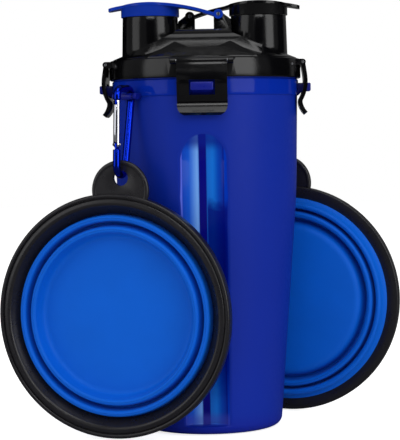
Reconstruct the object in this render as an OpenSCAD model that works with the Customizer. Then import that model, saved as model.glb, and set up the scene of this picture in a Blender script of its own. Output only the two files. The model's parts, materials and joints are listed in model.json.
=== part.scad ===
// Dog travel bottle: a two-chamber cup, a latched lid with two flip caps, and two folding bowls.
// Millimetres. The origin is the centre of the foot, +Z is up and the front faces -Y.
// A half turn about Z maps the object onto itself, apart from the colours of the two caps.

/* [Cup] */
// Height of the cup to its rim
cup_h = 197; // [190:1:205]
// Outer radius of the cup just above its foot
foot_r = 40.1; // [38:0.1:42]
// Outer radius where the taper turns into the upper wall
knee_r = 49.6; // [48.5:0.1:50]
// Height where the taper turns into the upper wall
knee_z = 128; // [115:1:140]
// Outer radius under the collar
neck_r = 50.6; // [50:0.1:52]
// Rounding at the edge of the foot
foot_round = 5; // [3:0.5:7]
// Thickness of the wall
cup_wall = 2.2; // [1.6:0.1:3]
// Thickness of the floor
cup_floor = 3; // [2:0.5:5]
// Thickness of the wall between the water and food chambers
divider_t = 2.6; // [1.6:0.1:4]
// Distance from the rim down to the lower edge of the collar
collar_drop = 15.5; // [14:0.5:18]
// Height of the collar
collar_h = 9; // [6:0.5:9]
// How far the collar stands proud of the wall
collar_proud = 0.6; // [0.3:0.1:1]

/* [Grip recess] */
// Radius of the hollow that runs up the front and the back
grip_r = 24; // [20:1:28]
// Depth of the hollow
grip_depth = 5; // [3:0.5:6]
// Height where the hollow starts
grip_z = 5; // [4:0.5:20]
// Height where the hollow ends
grip_top = 161; // [140:1:165]

/* [Catches] */
// Width of a catch
catch_w = 12; // [9:0.5:12.5]
// Height of a catch
catch_h = 4.5; // [3:0.5:4.5]
// Distance from the rim down to the top of a catch
catch_drop = 8.7; // [8.5:0.1:9.5]
// How far a catch reaches out from the axis
catch_reach = 58; // [57:0.1:58.5]

/* [Ears] */
// Angle from the front to the ear, towards the left
ear_azimuth = 45.5; // [44:0.5:50]
// Distance from the axis to the ear's bar
ear_reach = 58; // [57.8:0.1:60]
// Distance from the rim down to the ear's bar
ear_drop = 15.4; // [15:0.1:20]
// Diameter of the ear's bar
ear_d = 3.4; // [3:0.1:3.6]
// Clear length of the ear's bar
ear_clear = 8; // [6:0.5:10]
// Thickness of each of the ear's two struts
ear_strut = 3; // [2:0.5:4]

/* [Lid] */
// Thickness of the lid's walls
lid_wall = 1.7; // [1.5:0.1:2]
// How far the lid's skirt reaches down past the rim of the cup
lid_lap = 6; // [5:0.5:6.4]
// Height of the lid's edge above the rim of the cup
lid_edge = 4.6; // [4:0.1:5]
// Height of the shoulder above the rim of the cup
shoulder_rise = 10.4; // [9:0.2:11]
// Height of the bridge between the spouts above the rim of the cup
bridge_rise = 20.5; // [18:0.5:22]
// Depth of the bridge from front to back
bridge_depth = 70; // [60:1:74]
// Thickness of the gasket
gasket_t = 2; // [1.5:0.1:2.5]

/* [Spouts] */
// Distance from the axis to the middle of a spout
spout_x = 29.8; // [29.4:0.1:30.2]
// Outer diameter of a spout at its mouth
spout_d = 30.4; // [28:0.1:30.6]
// Outer diameter of a spout at its root
spout_root_d = 31.6; // [30.6:0.1:32]
// Thickness of a spout's wall
spout_wall = 2.2; // [1.6:0.1:3]
// Height of a spout's mouth above the rim of the cup
spout_rise = 28.5; // [26:0.5:30]

/* [Flip caps] */
// Outer diameter of a cap
cap_d = 32; // [31.6:0.1:33]
// Thickness of a cap's wall
cap_wall = 1.5; // [1:0.1:1.8]
// Height of a cap at its middle
cap_h = 7.6; // [6:0.2:9]
// Radius of the arch along a cap's top
cap_arch_r = 105; // [95:1:130]
// Thickness of the arched plate
cap_plate = 1.6; // [1.2:0.1:2]
// Distance from the axis to the tip of a cap's thumb tab
cap_tip = 52.5; // [49:0.5:54]
// Width of the thumb tab
tab_w = 13; // [8:0.5:18]
// Distance from the axis to a cap's hinge pin, on the far side
cap_hinge_x = 8.1; // [7.5:0.1:9]
// Radius of a cap's knuckles
cap_knuckle_r = 2.6; // [2.2:0.1:3]
// Radius of a cap's hinge pin
cap_pin_r = 1; // [0.8:0.1:1.2]
// Distance from the middle of the lid to the near side of a cap's arm
arm_y = 3; // [2.5:0.1:5]
// Width of a cap's arm
arm_w = 11; // [9:0.5:12]
// Thickness of the silicone seal in a cap
seal_t = 2.2; // [1.5:0.1:3]

/* [Latches] */
// Width of a latch
latch_w = 26.5; // [24:0.5:30]
// Thickness of a latch
latch_t = 2.2; // [1.8:0.1:2.4]
// How far a latch reaches down from its hinge pin
latch_drop = 27.8; // [27:0.1:29]
// How far a latch's side curve bellies out
latch_belly = 3.2; // [2.8:0.1:3.6]
// How far a latch's side curve tucks in
latch_tuck = 1.2; // [0.8:0.1:1.4]
// How far a latch's lower lip flares out
latch_lip = 1.6; // [0.8:0.1:3]
// Rounding at a latch's lower corners
latch_round = 5.5; // [1:0.5:6]
// Width of a latch's window
window_w = 13.4; // [13:0.1:15]
// Height of a latch's window
window_h = 7.8; // [7.4:0.1:8]
// Radius of a latch's knuckle
latch_knuckle_r = 1.6; // [1.5:0.1:2]
// Radius of a latch's hinge pin
latch_pin_r = 0.8; // [0.6:0.1:1]
// Height of a latch's hinge pin above the rim of the cup
latch_hinge_rise = 2.4; // [2:0.1:2.5]
// Thickness of each lug beside a latch
lug_w = 3; // [2:0.5:4]
// Thickness of the lid that is left behind the pocket of a latch's knuckle
pocket_wall = 0.8; // [0.6:0.1:1]

/* [Carabiners] */
// Angle from the front to the carabiner's plane, towards the left
clip_azimuth = 22.6; // [15:0.5:30]
// Outward lean of a hanging carabiner
clip_lean = 12.9; // [12:0.1:15]
// Diameter of the carabiner's wire
wire_d = 4; // [3.8:0.1:4]
// Distance from the ear's bar down to the middle of the lower bend
clip_drop = 37.5; // [37:0.5:38]
// Radius of the lower bend along the wire's middle
clip_bend_r = 5; // [4.5:0.1:6]
// Distance from the ear's bar out to the middle of the outer bend
clip_span = 8; // [7:0.2:10]
// Length of the gate between its ends
gate_len = 23; // [20:0.5:24]
// Thickness of the tongues that the gate closes over
tongue_t = 1.3; // [1:0.1:1.6]
// Radius of the gate's rivet
rivet_r = 0.7; // [0.5:0.1:0.8]

/* [Bowls] */
// Angle from the front to a bowl's axis, towards the left
bowl_azimuth = 16.4; // [12:0.2:20]
// Outer radius of a bowl's rim
bowl_r = 65; // [62:0.5:66]
// Thickness of the rim
rim_t = 6.2; // [5.6:0.2:7]
// Width of the rim's outer band
rim_band = 6.5; // [5.5:0.1:8]
// Radius of the rim's hanging tab
tab_r = 16; // [13:0.2:17]
// How far the tab reaches out past the rim's edge
tab_proud = 17.8; // [16.5:0.1:19]
// Thickness of the tab
tab_t = 2.2; // [1.8:0.1:2.4]
// Distance from the rim's edge out to the middle of the hanging hole
hole_out = 8.4; // [7.5:0.1:9]
// Radius of the hanging hole
hole_r = 4; // [3.6:0.1:4.4]
// Step from the rim's band in to the first groove, where the bowl's collar meets the upper fold
groove1_step = 4.2; // [3.9:0.1:4.5]
// Step from the first groove in to the first crest
crest1_step = 2.3; // [2.2:0.1:2.6]
// Step from the first crest in to the second groove
groove2_step = 2.8; // [2.6:0.1:3.2]
// Step from the second groove in to the second crest
crest2_step = 3.2; // [2.8:0.1:3.6]
// Step from the second crest in to the edge of the flat base
base_step = 4.4; // [4:0.1:8]
// Depth of the crests behind the rim's face
crest_depth = 2.6; // [2:0.1:4]
// Depth of the grooves behind the rim's face
groove_depth = 11; // [10:0.1:11.4]
// Depth of the base's inner face behind the rim's face
base_depth = 9.4; // [8:0.1:9.8]
// Thickness of the silicone
skin_t = 1.2; // [0.8:0.1:1.4]
// Angle by which the front bowl hangs out of plumb
front_tilt = 4.6; // [0:0.2:6]
// Angle by which the back bowl hangs out of plumb
back_tilt = 2; // [0:0.2:6]

/* [Fits] */
// Running clearance round hinge pins
run_gap = 0.05; // [0.02:0.01:0.08]
// Clearance between pieces that move past each other
move_gap = 0.3; // [0.25:0.05:0.4]
// Clearance round the divider in the cup
divider_gap = 0.1; // [0.05:0.05:0.3]
// Clearance between the hanging hole and the wire
hang_gap = 0.4; // [0.3:0.1:0.6]

/* [Hidden] */
$fn = 96;

// Colours as the object shows them
frosted_blue = [0.12, 0.2, 0.66];
cap_blue = [0.1, 0.2, 0.68];
bowl_blue = [0.05, 0.3, 0.8];
gloss_black = [0.04, 0.04, 0.05];
seal_grey = [0.75, 0.76, 0.78];
steel = [0.75, 0.76, 0.78];

// Overshoot of cuts, overlap of joined wire, and a length past everything
eps = 0.01;
join = 0.03;
far = 100;
arc_steps = 8;
half = 180;

// Heights that follow the rim of the cup
collar_z = cup_h - collar_drop;
collar_r = neck_r + collar_proud;
wall_mid_r = neck_r - cup_wall / 2;
skirt_z = cup_h - lid_lap;
ledge_z = cup_h + gasket_t;
edge_z = cup_h + lid_edge;
shoulder_z = cup_h + shoulder_rise;
bridge_z = cup_h + bridge_rise;
mouth_z = cup_h + spout_rise;
skirt_r = neck_r + move_gap;
lid_r = skirt_r + lid_wall;
edge_round = 0.8;
edge_groove = 0.5;
edge_bead = 1.3;

// Latch hinge, and the window over the catch
latch_hinge_r = skirt_r + pocket_wall + move_gap + latch_knuckle_r;
latch_hinge_z = cup_h + latch_hinge_rise;
catch_top = cup_h - catch_drop;
window_play = 1.1;
window_top = catch_top + window_play;
lug_x = latch_w / 2 + move_gap;
pocket_r = latch_knuckle_r + move_gap;

// Flip cap hinge, seat and arch
hinge_lift = 0.7;
seat_gap = 0.2;
cap_hinge_z = mouth_z + hinge_lift;
cap_seat = mouth_z + seat_gap;
cap_top = mouth_z + cap_h;
lane_mid = -arm_y - arm_w / 2;
fork_w = 4.4;
column_w = 6.6;

// Carabiner: bends are circles in its own plane, x outward from the bar and y up along it
wire_r = wire_d / 2;
elbow_r = ear_d / 2 + wire_r + move_gap;
bar_at = [0, 0];
span_sink = 2;
span_at = [clip_span, -span_sink];
low_at = [clip_bend_r - elbow_r, -clip_drop];
clip_dir = [-sin(clip_azimuth), -cos(clip_azimuth), 0];
ear_at = [-ear_reach * sin(ear_azimuth), -ear_reach * cos(ear_azimuth), cup_h - ear_drop];

// The carabiner has slid along the bar to the ear's right strut
clip_at = ear_at + [cos(clip_azimuth), -sin(clip_azimuth), 0] * (ear_clear / 2 - wire_r - move_gap);

// A place in the carabiner's plane, as a place in the object's frame
function clip_place(p) =
    clip_at
    + clip_dir * (p[0] * cos(clip_lean) - p[1] * sin(clip_lean))
    + [0, 0, 1] * (p[0] * sin(clip_lean) + p[1] * cos(clip_lean));

// The tab hangs on the lowest point of the wire
wire_low = clip_place(low_at) - [0, 0, clip_bend_r];
hole_z = wire_low[2] - (hole_r - wire_r - hang_gap);
tab_depth = 2.2;
tab_bead = 1.5;
bowl_dir = [-sin(bowl_azimuth), -cos(bowl_azimuth), 0];
hole_at = [wire_low[0], wire_low[1], hole_z] + bowl_dir * tab_depth;
tab_reach = bowl_r + tab_proud;
hole_reach = bowl_r + hole_out;

// Point at t, from 0 to 1, on the cubic curve with control points c
function cubic(c, t) =
    c[0] * pow(1 - t, 3)
    + c[1] * 3 * t * pow(1 - t, 2)
    + c[2] * 3 * t * t * (1 - t)
    + c[3] * pow(t, 3);

function curve(c, n) = [for (i = [0 : n]) cubic(c, i / n)];

// The point p on the other side of the middle line
function mirrored(p) = [-p[0], p[1]];

function arc(c, r, from, to, n = arc_steps) =
    [for (i = [0 : n]) let (a = from + (to - from) * i / n) [c[0] + r * cos(a), c[1] + r * sin(a)]];

// Unit normal of the line of points p at its point i
function normal(p, i) =
    let (d = p[min(i + 1, len(p) - 1)] - p[max(i - 1, 0)]) [-d[1], d[0]] / norm(d);

// Closed outline of a band of thickness t along the line of points p
function band(p, t) = concat(
    [for (i = [0 : len(p) - 1]) p[i] + normal(p, i) * t / 2],
    [for (i = [len(p) - 1 : -1 : 0]) p[i] - normal(p, i) * t / 2]
);

// Outer radius of the cup at height z
function cup_r(z) = z < knee_z
    ? foot_r + (knee_r - foot_r) * (z - foot_round) / (knee_z - foot_round)
    : knee_r + (neck_r - knee_r) * (z - knee_z) / (collar_z - knee_z);

// Side line of the cup from above the foot to the rim, moved in by inset
knee_span = 16;
function cup_side(inset, foot) = concat(
    [[cup_r(foot) - inset, foot]],
    curve([
        [cup_r(knee_z - knee_span) - inset, knee_z - knee_span],
        [knee_r - inset, knee_z],
        [knee_r - inset, knee_z],
        [cup_r(knee_z + knee_span) - inset, knee_z + knee_span]
    ], arc_steps),
    [[neck_r - inset, collar_z], [neck_r - inset, cup_h]]
);

// Outward normal of the straight line that touches two bends on one side
function touch_angle(a, ra, b, rb, turn) =
    let (d = b - a) atan2(d[1], d[0]) + turn * acos((ra - rb) / norm(d));

function on_bend(c, r, a) = c + r * [cos(a), sin(a)];

// Places children at a quarter of the lid: 0 front, 90 right, 180 back, 270 left
module quarter(turn) {
    rotate([0, 0, turn])
        children();
}

// Places a flat outline of radius and height at the front, with its thickness across x
module across(w) {
    rotate([0, 0, -90])
        rotate([90, 0, 0])
            translate([0, 0, -w / 2])
                linear_extrude(w)
                    children();
}

// Places children in the plane of the front carabiner
module at_clip() {
    translate(clip_at)
        rotate([0, 0, -90 - clip_azimuth])
            rotate([0, -clip_lean, 0])
                rotate([90, 0, 0])
                    children();
}

// Places children on the axis of a bowl at the front, with z out of its rim's face and y to its tab
module at_bowl(tilt) {
    translate(hole_at)
        rotate([0, 0, -bowl_azimuth])
            rotate([90, 0, 0])
                rotate([0, 0, -tilt])
                    translate([0, -hole_reach, 0])
                        children();
}

// Cup
module cup_solid(inset, foot, corner) {
    rotate_extrude()
        polygon(concat(
            [[0, foot]],
            arc([cup_r(foot + corner) - inset - corner, foot + corner], corner, -90, 0),
            cup_side(inset, foot + corner),
            [[0, cup_h]]
        ));
}

// The hollow's tool follows the taper and ends in a ball, a hair wider; wall is what is left behind it
module grip_tool(wall) {
    top_z = grip_top - sqrt(pow(grip_r, 2) - pow(grip_r - grip_depth, 2));
    low_y = cup_r(grip_z) + grip_r - grip_depth;
    top_y = cup_r(top_z) + grip_r - grip_depth;
    lean = atan2(top_y - low_y, top_z - grip_z);
    length = norm([top_y - low_y, top_z - grip_z]);
    intersection() {
        translate([0, -top_y, top_z]) {
            sphere(grip_r + wall + join);
            rotate([lean, 0, 0])
                mirror([0, 0, 1])
                    cylinder(r = grip_r + wall, h = length + grip_z + cup_floor);
        }
        translate([-far, -2 * far, grip_z - wall])
            cube([2 * far, 2 * far, 2 * far]);
    }
}

// A catch has a sloping foot under it and bevelled outer edges
catch_foot = 2.3;
catch_bevel = 0.9;

module catch() {
    low_z = catch_top - catch_h;
    across(catch_w)
        polygon([
            [wall_mid_r, low_z - catch_foot],
            [collar_r, low_z - catch_foot],
            [collar_r + catch_foot, low_z],
            [catch_reach - catch_bevel, low_z],
            [catch_reach, low_z + catch_bevel],
            [catch_reach, catch_top - catch_bevel],
            [catch_reach - catch_bevel, catch_top],
            [wall_mid_r, catch_top]
        ]);
}

// An ear's struts start inside the wall, which trims them
ear_root = 8;

module ear() {
    bar_l = ear_clear + 2 * ear_strut;
    strut_l = ear_reach - neck_r + ear_root;
    difference() {
        translate(ear_at)
            rotate([0, 0, -clip_azimuth]) {
                rotate([0, 90, 0])
                    cylinder(d = ear_d, h = bar_l, center = true);
                for (side = [-1, 1])
                    translate([side * (ear_clear + ear_strut) / 2, strut_l / 2, 0])
                        cube([ear_strut, strut_l, ear_d], center = true);
            }
        cylinder(r = wall_mid_r, h = cup_h);
    }
}

// The space inside the cup, moved in by inset from its walls
module cup_hollow(inset) {
    difference() {
        cup_solid(cup_wall + inset, cup_floor, foot_round - cup_wall);
        for (turn = [0, half])
            rotate([0, 0, turn])
                grip_tool(cup_wall + inset);
    }
}

module bottle_body() {
    color(frosted_blue)
        difference() {
            union() {
                difference() {
                    cup_solid(0, 0, foot_round);
                    translate([0, 0, eps])
                        cup_hollow(0);
                }
                translate([0, 0, collar_z])
                    difference() {
                        cylinder(r = collar_r, h = collar_h);
                        translate([0, 0, -eps])
                            cylinder(r = wall_mid_r, h = collar_h + 2 * eps);
                    }
                for (turn = [0 : 90 : 270])
                    quarter(turn)
                        catch();
                for (turn = [0, half])
                    rotate([0, 0, turn])
                        ear();
            }
            for (turn = [0, half])
                rotate([0, 0, turn])
                    grip_tool(0);
        }
}

// The wall between the chambers stands on the floor, from the front of the cup to its back
module chamber_divider() {
    color(frosted_blue)
        intersection() {
            cup_hollow(divider_gap);
            translate([-divider_t / 2, -far / 2, cup_floor + eps])
                cube([divider_t, far, cup_h]);
        }
}

// Lid: half widths of the flat top, the bridge's top, its foot and its ends, then its front's lean
shoulder_r = 39.5;
shoulder_drop = 2.4;
rim_inset = 2.2;
root_drop = lid_edge - gasket_t + 0.1;
bridge_front = 14;
bridge_foot = 36.5;
bridge_flare = 4;
bridge_reach = 46.5;
bridge_foot_z = shoulder_z - 1.6;
bridge_bevel = [1.6, 2.4];
bridge_slope = 1.5;
bridge_chamfer = 7;

// One side of the bridge's front outline, from its root to its top, moved in by inset
function bridge_side(inset) = [
    [bridge_foot + bridge_flare - inset, edge_z - root_drop - 0.5],
    [bridge_foot + bridge_flare - inset, edge_z + 1],
    [bridge_foot - inset, bridge_foot_z - inset],
    [bridge_front + bridge_bevel[0] - inset, bridge_z - inset - bridge_bevel[1]],
    [bridge_front - inset, bridge_z - inset]
];

// Half of the bridge's side outline, from the front of its top to its foot, moved in by inset
function bridge_end(inset) =
    let (top = bridge_z - inset, half_d = bridge_depth / 2 - inset) concat(
        curve([
            [half_d - bridge_chamfer - bridge_flare, top],
            [half_d - bridge_chamfer + 2, top],
            [half_d - bridge_slope - 0.5, top - 2],
            [half_d - bridge_slope, top - bridge_chamfer + 2]
        ], arc_steps),
        [[half_d, edge_z - root_drop - 0.5]]
    );

// The bridge carries both spouts: shoulders slope down at its sides, and its front leans back
module bridge(inset) {
    end = bridge_end(inset);
    intersection() {
        rotate([90, 0, 0])
            translate([0, 0, -bridge_depth / 2])
                linear_extrude(bridge_depth)
                    polygon(concat(
                        bridge_side(inset),
                        [for (i = [4 : -1 : 0]) mirrored(bridge_side(inset)[i])]
                    ));
        across(2 * bridge_reach)
            polygon(concat(end, [for (i = [len(end) - 1 : -1 : 0]) mirrored(end[i])]));
        cylinder(r = bridge_reach - inset, h = bridge_z + eps);
    }
}

// A leaning ramp at each side of the bridge's foot; its outline is across and over the shoulder
ramp_outline = [[5.6, -6.5], [5.6, -0.8], [14.8, 3.2], [28, -4.2], [30, -6.5]];
ramp_lean = 50;
ramp_proud = 2;

module ramp(side) {
    intersection() {
        rotate([90, 0, 0])
            linear_extrude(bridge_reach)
                polygon([for (p = ramp_outline) [side * p[0], shoulder_z + p[1]]]);
        translate([0, -bridge_depth / 2 - ramp_proud, shoulder_z])
            rotate([ramp_lean, 0, 0])
                translate([-far / 2, -far / 4, -far])
                    cube([far, far, far]);
    }
}

module shoulder(inset) {
    rotate_extrude()
        polygon([
            [0, edge_z - root_drop],
            [lid_r - rim_inset - inset, edge_z - root_drop],
            [lid_r - rim_inset - inset, edge_z + 0.6 - inset],
            [shoulder_r + bridge_flare - inset, shoulder_z - shoulder_drop - inset],
            [shoulder_r - inset, shoulder_z - inset],
            [0, shoulder_z - inset]
        ]);
}

// A lug carries one end of a latch's pin
module latch_lug() {
    root_r = lid_r * cos(asin((lug_x + lug_w) / lid_r)) - 1;
    across(lug_w)
        polygon(concat(
            arc([latch_hinge_r, latch_hinge_z], latch_knuckle_r, 90, -90),
            [[root_r, latch_hinge_z - latch_knuckle_r], [root_r, latch_hinge_z + latch_knuckle_r]]
        ));
}

// The column that a cap's fork straddles, in its lane in front of the middle
column_flare = 0.6;

module cap_column() {
    root_z = bridge_z - 2;
    difference() {
        rotate([90, 0, 0])
            translate([0, 0, -lane_mid - fork_w / 2])
                linear_extrude(fork_w)
                    polygon(concat(
                        arc([cap_hinge_x, cap_hinge_z], cap_knuckle_r, 180, 10),
                        [
                            [cap_hinge_x + column_w, cap_hinge_z - cap_knuckle_r],
                            [cap_hinge_x + column_w + column_flare, root_z],
                            [cap_hinge_x - cap_knuckle_r, root_z]
                        ]
                    ));
        translate([cap_hinge_x, lane_mid, cap_hinge_z])
            rotate([90, 0, 0])
                cylinder(r = cap_pin_r, h = far, center = true);
    }
}

module lid_shell() {
    root_z = edge_z + 1;
    color(gloss_black)
        difference() {
            union() {
                rotate_extrude()
                    polygon([
                        [0, skirt_z],
                        [lid_r - edge_round / 2, skirt_z],
                        [lid_r, skirt_z + edge_round / 2],
                        [lid_r, edge_z - edge_round],
                        [lid_r - edge_round / 3, edge_z - edge_round / 3],
                        [lid_r - edge_round, edge_z],
                        [lid_r - edge_bead, edge_z],
                        [lid_r - edge_bead, edge_z - edge_groove],
                        [lid_r - edge_bead - edge_groove, edge_z - edge_groove],
                        [0, edge_z - edge_groove]
                    ]);
                shoulder(0);
                bridge(0);
                ramp(-1);
                ramp(1);
                for (side = [-1, 1])
                    translate([side * spout_x, 0, root_z])
                        cylinder(d1 = spout_root_d, d2 = spout_d, h = mouth_z - root_z);
                for (turn = [0, half])
                    rotate([0, 0, turn])
                        cap_column();
                for (turn = [0 : 90 : 270], side = [-1, 1])
                    quarter(turn)
                        translate([side * (lug_x + lug_w / 2), 0, 0])
                            latch_lug();
            }
            translate([0, 0, skirt_z - eps])
                cylinder(r = skirt_r, h = ledge_z - skirt_z + eps);
            difference() {
                union() {
                    intersection() {
                        shoulder(lid_wall);
                        cylinder(r = neck_r - cup_wall - 0.6, h = mouth_z);
                    }
                    bridge(lid_wall);
                }
                translate([-divider_t / 2, -far / 2, ledge_z])
                    cube([divider_t, far, far]);
            }
            for (side = [-1, 1])
                translate([side * spout_x, 0, ledge_z])
                    cylinder(d = spout_d - 2 * spout_wall, h = mouth_z);
            for (turn = [0 : 90 : 270])
                quarter(turn)
                    translate([0, -latch_hinge_r, latch_hinge_z])
                        rotate([0, 90, 0]) {
                            cylinder(r = latch_pin_r, h = latch_w + 4 * lug_w, center = true);
                            cylinder(r = pocket_r, h = 2 * lug_x, center = true);
                        }
        }
}

module lid_gasket() {
    color(seal_grey)
        translate([0, 0, cup_h])
            linear_extrude(gasket_t) {
                difference() {
                    circle(neck_r - 0.1);
                    circle(neck_r - cup_wall - 0.4);
                }
                intersection() {
                    circle(neck_r - 0.1);
                    square([divider_t, 2 * neck_r], center = true);
                }
            }
}

// Latches
// Control points of the side curve, outward and up from the hinge pin, above and below the tuck
latch_root = [0.4, -1];
latch_waist = -20.2;
latch_upper = [
    latch_root,
    [1, -6.5],
    [latch_belly, -12.5],
    [-latch_tuck, latch_waist]
];
latch_lower = [
    [-latch_tuck, latch_waist],
    [-latch_tuck - 0.7, latch_waist - 1.8],
    [-latch_tuck + 0.4, 2.5 - latch_drop],
    [latch_lip, -latch_drop]
];
latch_steps = 12;

module latch() {
    side_w = latch_w / 2 + 1;
    low_z = latch_hinge_z - latch_drop - 1;
    line = concat(
        curve(latch_upper, latch_steps),
        [for (i = [1 : latch_steps]) cubic(latch_lower, i / latch_steps)]
    );
    color(gloss_black)
        difference() {
            union() {
                intersection() {
                    across(latch_w)
                        translate([latch_hinge_r, latch_hinge_z])
                            polygon(band(line, latch_t));
                    rotate([90, 0, 0])
                        linear_extrude(far)
                            polygon(concat(
                                [[side_w, latch_hinge_z + 2], [-side_w, latch_hinge_z + 2]],
                                [[-side_w, low_z + latch_round]],
                                arc([latch_round - latch_w / 2, low_z + latch_round], latch_round, 180, 270),
                                arc([latch_w / 2 - latch_round, low_z + latch_round], latch_round, -90, 0),
                                [[side_w, low_z + latch_round]]
                            ));
                }
                translate([0, -latch_hinge_r, latch_hinge_z])
                    rotate([0, 90, 0])
                        cylinder(r = latch_knuckle_r, h = latch_w, center = true);
            }
            translate([-window_w / 2, -far, window_top - window_h])
                cube([window_w, far, window_h]);
            translate([0, -latch_hinge_r, latch_hinge_z])
                rotate([0, 90, 0])
                    cylinder(r = latch_pin_r + run_gap, h = latch_w + 2, center = true);
        }
}

module latch_pin() {
    color(steel)
        translate([0, -latch_hinge_r, latch_hinge_z])
            rotate([0, 90, 0])
                cylinder(r = latch_pin_r, h = 2 * (lug_x + lug_w), center = true);
}

module latch_front() quarter(0) latch();
module latch_right() quarter(90) latch();
module latch_back() quarter(180) latch();
module latch_left() quarter(270) latch();
module latch_pin_front() quarter(0) latch_pin();
module latch_pin_right() quarter(90) latch_pin();
module latch_pin_back() quarter(180) latch_pin();
module latch_pin_left() quarter(270) latch_pin();

// Flip caps: the cap sits over the left spout and its arm runs to the hinge in the front lane
plate_lip = 0.4;
arch_fn = 360;

// One side of the thumb tab: along from the axis, and past half of the tab's width
tab_side = [[-spout_x, 3], [5 - cap_tip, 0.5], [1.5 - cap_tip, -0.5], [-cap_tip, -2.5]];

// The arm runs from the cap's edge to just short of the hinge pin
arm_outline = [
    [-spout_x, 0.6 - cap_d / 2],
    [-arm_w, -arm_y - arm_w],
    [cap_hinge_x - 1, -arm_y - arm_w],
    [cap_hinge_x - 1, -arm_y],
    [-arm_w, -arm_y],
    [cap_d / 2 - spout_x - 1, 4]
];

module arch_shell(top, t) {
    translate([-spout_x, 0, top - cap_arch_r])
        rotate([90, 0, 0])
            difference() {
                cylinder(r = cap_arch_r, h = far, center = true, $fn = arch_fn);
                cylinder(r = cap_arch_r - t, h = 2 * far, center = true, $fn = arch_fn);
            }
}

// Plan of the plate, from above; each outline has a height of its own, past the arch
module cap_plan() {
    translate([-spout_x, 0, 0])
        cylinder(r = cap_d / 2 + plate_lip, h = far);
    linear_extrude(0.9 * far)
        polygon(concat(
            [for (p = tab_side) [p[0], -tab_w / 2 - p[1]]],
            [for (i = [3 : -1 : 0]) [tab_side[i][0], tab_w / 2 + tab_side[i][1]]]
        ));
    linear_extrude(0.8 * far)
        polygon(arm_outline);
}

module cap() {
    slot_reach = column_w + 2;
    slot_w = fork_w + 2 * move_gap;
    difference() {
        union() {
            intersection() {
                arch_shell(cap_top, cap_plate);
                translate([0, 0, bridge_z])
                    cap_plan();
            }
            intersection() {
                translate([-spout_x, 0, cap_seat])
                    cylinder(d = cap_d, h = 2 * cap_h);
                arch_shell(cap_top, 2 * cap_h);
            }
            translate([cap_hinge_x, lane_mid, cap_hinge_z])
                rotate([90, 0, 0])
                    cylinder(r = cap_knuckle_r, h = arm_w, center = true);
        }
        translate([-spout_x, 0, cap_seat - eps])
            cylinder(r = cap_d / 2 - cap_wall, h = seal_t + eps);
        translate([cap_hinge_x, lane_mid, cap_hinge_z])
            rotate([90, 0, 0])
                cylinder(r = cap_pin_r + run_gap, h = arm_w + 2, center = true);
        translate([cap_hinge_x - slot_reach, lane_mid - slot_w / 2, cap_hinge_z - cap_knuckle_r - 1])
            cube([slot_reach + cap_knuckle_r + 1, slot_w, far]);
    }
}

module cap_seal() {
    color(seal_grey)
        translate([-spout_x, 0, cap_seat])
            cylinder(r = cap_d / 2 - cap_wall, h = seal_t);
}

module cap_pin() {
    color(steel)
        translate([cap_hinge_x, lane_mid, cap_hinge_z])
            rotate([90, 0, 0])
                cylinder(r = cap_pin_r, h = arm_w, center = true);
}

module water_cap() color(cap_blue) cap();
module water_cap_seal() cap_seal();
module water_cap_pin() cap_pin();
module food_cap() color(gloss_black) rotate([0, 0, half]) cap();
module food_cap_seal() rotate([0, 0, half]) cap_seal();
module food_cap_pin() rotate([0, 0, half]) cap_pin();

// Carabiner: the outer run from the span bend to the low bend holds the gate
run_a = touch_angle(span_at, elbow_r, low_at, clip_bend_r, 1);
run_top = on_bend(span_at, elbow_r, run_a);
run_low = on_bend(low_at, clip_bend_r, run_a);
run_dir = (run_top - run_low) / norm(run_top - run_low);
run_turn = atan2(run_dir[1], run_dir[0]) - 90;
nose_len = 2.4;
gate_r = wire_r - 0.1;
gate_top = run_top - run_dir * nose_len;
rivet_at = gate_top - run_dir * gate_len;
stub_gap = 2.6;
stub_end = rivet_at - run_dir * stub_gap;

// The lower tongue is round about the rivet; the upper one is square; slots in the gate clear both
tongue_r = 1.2;
tongue_root = 0.8;
nose_tongue = 2;
slot_w = tongue_t + 2 * move_gap;
rivet_len = wire_d - 0.6;

// A plunger and its spring lie in a bore along the gate, just past the lower tongue
plunger_at = tongue_r + 0.1;
plunger_r = 0.9;
bore_r = plunger_r + run_gap;
spring_len = 7;
plunger_len = 2.4;

module wire_run(a, b) {
    d = b - a;
    translate([a[0], a[1], 0])
        rotate([0, 0, atan2(d[1], d[0])])
            rotate([0, 90, 0])
                cylinder(r = wire_r, h = norm(d));
}

// A bend has a bead a hair wider than the wire at each end, which joins it to the straight run there
module wire_bend(c, r, from, to) {
    translate([c[0], c[1], 0])
        rotate([0, 0, from])
            rotate_extrude(angle = to - from)
                translate([r, 0])
                    circle(wire_r);
    for (a = [from, to])
        translate([c[0], c[1], 0])
            rotate([0, 0, a])
                translate([r, 0, 0])
                    rotate([90, 0, 0])
                        sphere(wire_r + join);
}

// Places children on the gate's line, with y along it from the rivet to the nose
module at_gate() {
    translate([rivet_at[0], rivet_at[1], 0])
        rotate([0, 0, run_turn])
            children();
}

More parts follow.
